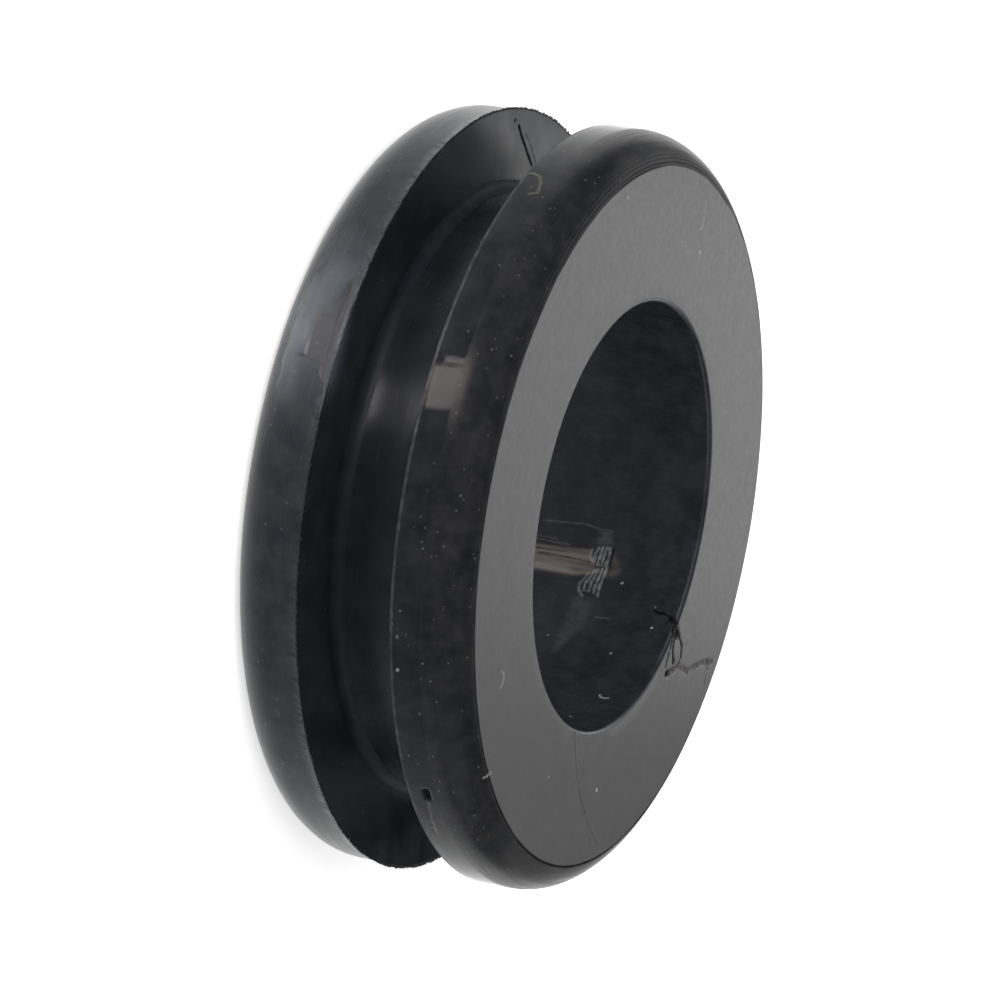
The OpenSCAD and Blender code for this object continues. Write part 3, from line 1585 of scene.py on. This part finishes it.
BORE_MARKS = Blemish(
    name="stain and wrinkles on the bore's wall",
    sheet=Sheet.BORE_WALL,
    area=FineArea((44.5, 87.0), (4.0, 11.6), 3, 0.1),
    marks=(
        # This patch's brown is a painted warm reflection along the bore's wall, not a stain; its lower
        # roughness is real gloss.
        Patch(
            ((78.5, 3.8), (78.9, 6.1), (79.5, 7.8), (76.6, 8.2), (73.4, 8.5), (71.9, 7.4), (71.8, 3.8)),
            edge=0.2, rough=0.004, feels=((Feel.BROWN, 0.55), (Feel.POLISHED, 0.6)), streak=12.0, seed=11,
        ),
        Patch(
            ((74.9, 3.8), (74.4, 6.6), (72.2, 7.0), (71.8, 3.8)),
            edge=0.8, feels=((Feel.PALE, 0.14),), streak=8.0, seed=33,
        ),
        Stroke(((76.4, 4.6), (76.5, 6.0), (76.1, 8.0)), 0.09, -0.03, 0.4, DULL),
        Stroke(((77.6, 4.2), (77.8, 6.4)), 0.06, -0.02, 0.4, DULL),
        Stroke(((80.0, 4.2), (79.9, 6.4)), 0.07, 0.01, 0.4, ((Feel.BROWN, 0.3),)),
        Stroke(((81.0, 4.2), (80.8, 5.6)), 0.06, 0.01, 0.4, ((Feel.BROWN, 0.25),)),
        Stroke(((80.8, 9.2), (76.0, 9.25), (72.0, 9.0), (67.0, 9.05)), 0.1, -0.05, 0.3, DEEP),
        wrinkle(((79.7, 7.9), (77.7, 7.85), (76.5, 8.05)), 0.2, 17),
        wrinkle(((80.5, 8.3), (78.7, 8.15), (76.6, 8.2)), 0.27, 18),
        wrinkle(((80.9, 8.55), (79.0, 8.5), (76.8, 8.45), (75.6, 8.5)), 0.3, 19),
        wrinkle(((80.9, 8.8), (79.2, 8.75), (77.0, 8.7), (75.8, 8.75)), 0.3, 20),
        wrinkle(((80.9, 9.0), (79.0, 9.05), (76.8, 9.0), (75.8, 9.0)), 0.26, 21),
        wrinkle(((75.2, 9.1), (72.6, 9.05), (69.8, 9.0), (67.0, 9.05)), 0.28, 27),
        wrinkle(((75.0, 8.85), (72.3, 8.8), (70.0, 8.7), (67.7, 8.75)), 0.3, 28),
        wrinkle(((74.8, 8.6), (72.6, 8.5), (70.3, 8.4), (67.8, 8.4)), 0.27, 29),
        wrinkle(((74.1, 8.4), (71.8, 8.2), (70.0, 8.05), (67.8, 8.1)), 0.25, 30),
        wrinkle(((72.9, 8.05), (70.9, 7.85), (69.7, 7.7), (68.0, 7.75), (66.2, 8.1)), 0.22, 31),
        Patch(
            ((79.2, 9.3), (77.4, 9.7), (75.0, 9.9), (73.3, 9.7), (73.0, 9.35)),
            edge=0.7, rough=0.004, feels=((Feel.BROWN, 0.3),), streak=3.0, seed=23,
        ),
        Patch(
            ((85.5, 8.0), (85.5, 8.9), (82.0, 9.1), (81.6, 8.2)),
            edge=0.5, rough=0.02, feels=((Feel.PALE, 0.05),), streak=2.0, seed=32,
        ),
        Patch(
            ((65.8, 7.7), (65.8, 8.9), (58.0, 8.9), (50.0, 8.3), (46.5, 7.9), (50.0, 7.7), (59.0, 7.6)),
            edge=0.6, rough=0.012, feels=((Feel.PALE, 0.035), (Feel.POLISHED, 0.4)), streak=2.0, seed=24,
        ),
        Stroke(
            ((85.3, 4.4), (86.0, 6.3), (86.3, 7.1), (85.6, 8.1), (85.7, 8.9)),
            width=0.07,
            lift=0.03,
            rough=0.5,
            feels=((Feel.PALE, 0.09),),
            seed=25,
        ),
        Stroke(((60.6, 9.4), (61.0, 10.3)), 0.06, 0.01, 0.3, ((Feel.BROWN, 0.3),)),
        Fleck((71.9, 10.3)),
        Fleck((52.0, 7.05), feels=((Feel.PALE, 0.3),)),
        Fleck((49.9, 11.3), feels=((Feel.PALE, 0.6),)),
    ),
)

FACE_CURL = Stroke(
    path=((-55.7, 17.13), (-54.3, 16.9), (-53.3, 17.0), (-52.5, 17.45)),
    width=0.1,
    lift=0.006,
    rough=0.6,
    feels=((Feel.PALE, 0.3),),
)
HAIR = Stroke(((-40.9, 20.85), (-40.4, 20.2)), 0.1, 0.006, 0.4, ((Feel.PALE, 0.4),))
BORE_CURL = Stroke(
    path=((32.9, 12.2), (31.9, 12.3), (31.5, 12.6), (32.0, 12.8)),
    width=0.09,
    rough=0.6,
    feels=((Feel.PALE, 0.5),),
)

FLOW_LINE = Blemish(
    name="flow line on the upper face",
    sheet=Sheet.UPPER_FACE,
    area=FineArea((-8.5, 15.5), (12.8, 20.1), 3, 0.1),
    marks=(
        Stroke(
            path=((-7.5, 12.8), (-2.6, 14.5), (2.1, 16.0), (8.4, 17.9), (14.4, 19.7)),
            width=0.07,
            lift=-0.03,
            rough=0.3,
            feels=((Feel.TORN, 0.5),),
        ),
        Fleck((11.4, 16.2), 0.13),
    ),
)

SCRATCH = Blemish(
    name="scratch on the upper face",
    sheet=Sheet.UPPER_FACE,
    area=FineArea((166.0, 170.0), (17.6, 19.6), 3, 0.1),
    marks=(
        Stroke(((168.5, 19.3), (167.4, 18.4)), 0.05, -0.02, 0.0, ((Feel.PALE, 0.2),)),
        Stroke(((167.4, 18.4), (167.2, 17.75), (168.0, 17.7)), 0.07, -0.02, 0.0, ((Feel.PALE, 0.45),)),
    ),
)

SLIT = Blemish(
    name="slit in the groove's lower wall",
    sheet=Sheet.LOWER_WALL,
    area=FineArea((174.0, 188.5), (19.0, 21.9), 4, 0.08),
    marks=(
        Stroke(((185.6, 21.35), (183.9, 20.75), (180.8, 19.95), (177.6, 19.25)), 0.07, -0.08, 0.8, DULL),
        Stroke(((182.4, 21.0), (181.0, 20.7), (175.2, 19.3)), 0.07, -0.02, 0.8, ((Feel.TORN, 0.25),)),
        hole(187.2, 21.65, 0.13, 0.08),
    ),
)

GATE_MARK = Blemish(
    name="gate mark on the upper rim",
    sheet=Sheet.UPPER_RIM,
    area=FineArea((-145.5, -138.0), (11.9, 10.25), 4, 0.09),
    marks=(
        Stroke(
            (
                *((-143.5, 10.2), (-144.2, 10.5), (-143.5, 11.1)),
                *((-142.0, 11.4), (-139.6, 11.65), (-139.0, 11.2)),
            ),
            width=0.1,
            lift=0.05,
            rough=0.3,
            feels=((Feel.BROWN, 0.4),),
        ),
    ),
)

PIT = Blemish(
    name="pit in the upper rim",
    sheet=Sheet.UPPER_RIM,
    area=FineArea((-41.5, -27.5), (11.9, 10.6), 4, 0.09),
    marks=(
        Stroke(((-39.9, 11.3), (-38.3, 11.3)), 0.32, -0.2, 0.3, DEEP),
        Stroke(((-37.6, 11.2), (-33.0, 11.0), (-29.0, 10.9)), 0.13, -0.03, 0.5, ((Feel.BROWN, 0.16),)),
    ),
)

FLASH_EDGE = Blemish(
    name="ragged flash",
    sheet=Sheet.FLASH,
    area=FineArea((0.0, 360.0), (22.25, 22.8), 4, 0.2),
    marks=(RaggedFlash(),),
)

STEPPED_CORNERS = (
    *((-118.0, 4.24), (-117.2, 3.75), (-115.9, 3.7), (-112.6, 3.45), (-111.7, 2.5), (-109.9, 2.38)),
    *((-106.4, 2.5), (-105.0, 2.52), (-104.6, 2.0), (-104.2, 2.4), (-103.3, 3.72), (-101.5, 4.24)),
)
STEPPED_PLACE = Blemish(
    name="stepped place on the lower rim",
    sheet=Sheet.LOWER_RIM,
    area=FineArea((-119.5, -99.5), (4.25, 1.5), 4, 0.1),
    marks=(
        Patch(
            corners=STEPPED_CORNERS,
            edge=0.24,
            lift=-0.07,
            rough=0.006,
            feels=((Feel.BROWN, 0.04), (Feel.TORN, 0.4)),
            seed=37,
        ),
        Stroke(((-104.8, 2.2), (-103.3, 3.7), (-102.0, 4.0)), 0.12, -0.03, 0.3, DULL),
        Stroke(((-116.2, 3.9), (-112.6, 3.76), (-108.4, 3.75), (-104.8, 3.8)), 0.08, -0.05, 0.3, DULL),
    ),
)

BLEMISHES = (
    TEAR,
    BORE_MARKS,
    FLOW_LINE,
    SCRATCH,
    SLIT,
    GATE_MARK,
    PIT,
    FLASH_EDGE,
    STEPPED_PLACE,
    fluff("curl of fluff", Sheet.UPPER_FACE, FACE_CURL, (-57.0, -51.5), (16.6, 17.8)),
    fluff("hair", Sheet.UPPER_FACE, HAIR, (-42.5, -39.0), (19.8, 20.9)),
    fluff("curl of fluff", Sheet.BORE_WALL, BORE_CURL, (30.0, 34.5), (12.1, 13.0)),
    grit(Sheet.UPPER_FACE, 165.1, 16.5, 0.13, 0.8),
    grit(Sheet.UPPER_FACE, 173.5, 16.2, 0.1, 0.5),
    grit(Sheet.UPPER_FACE, -155.3, 19.6, 0.12, 0.6),
    grit(Sheet.UPPER_FACE, -16.2, 16.0, 0.1, 0.5),
    grit(Sheet.UPPER_FACE, 152.9, 18.5, 0.1, 0.4),
    grit(Sheet.UPPER_RIM, -61.7, 10.6, 0.13, 0.45),
    grit(Sheet.UPPER_RIM, -66.9, 10.6, 0.12, 0.15),
    grit(Sheet.BORE_WALL, 16.7, 11.9, 0.11, 0.5),
    Blemish("step and tool rings round the upper face", Sheet.UPPER_FACE, (FaceStep(),)),
)


def main() -> None:
    """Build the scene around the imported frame."""
    logging.basicConfig(level=logging.INFO, format="%(name)s: %(message)s")
    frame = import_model()
    Studio().build()
    piece = Grommet(Section.from_frame(frame), FINISHES, BLEMISHES).build()
    log.info("%s: %d faces", piece.name, len(piece.data.polygons))


if __name__ == "__main__":
    main()
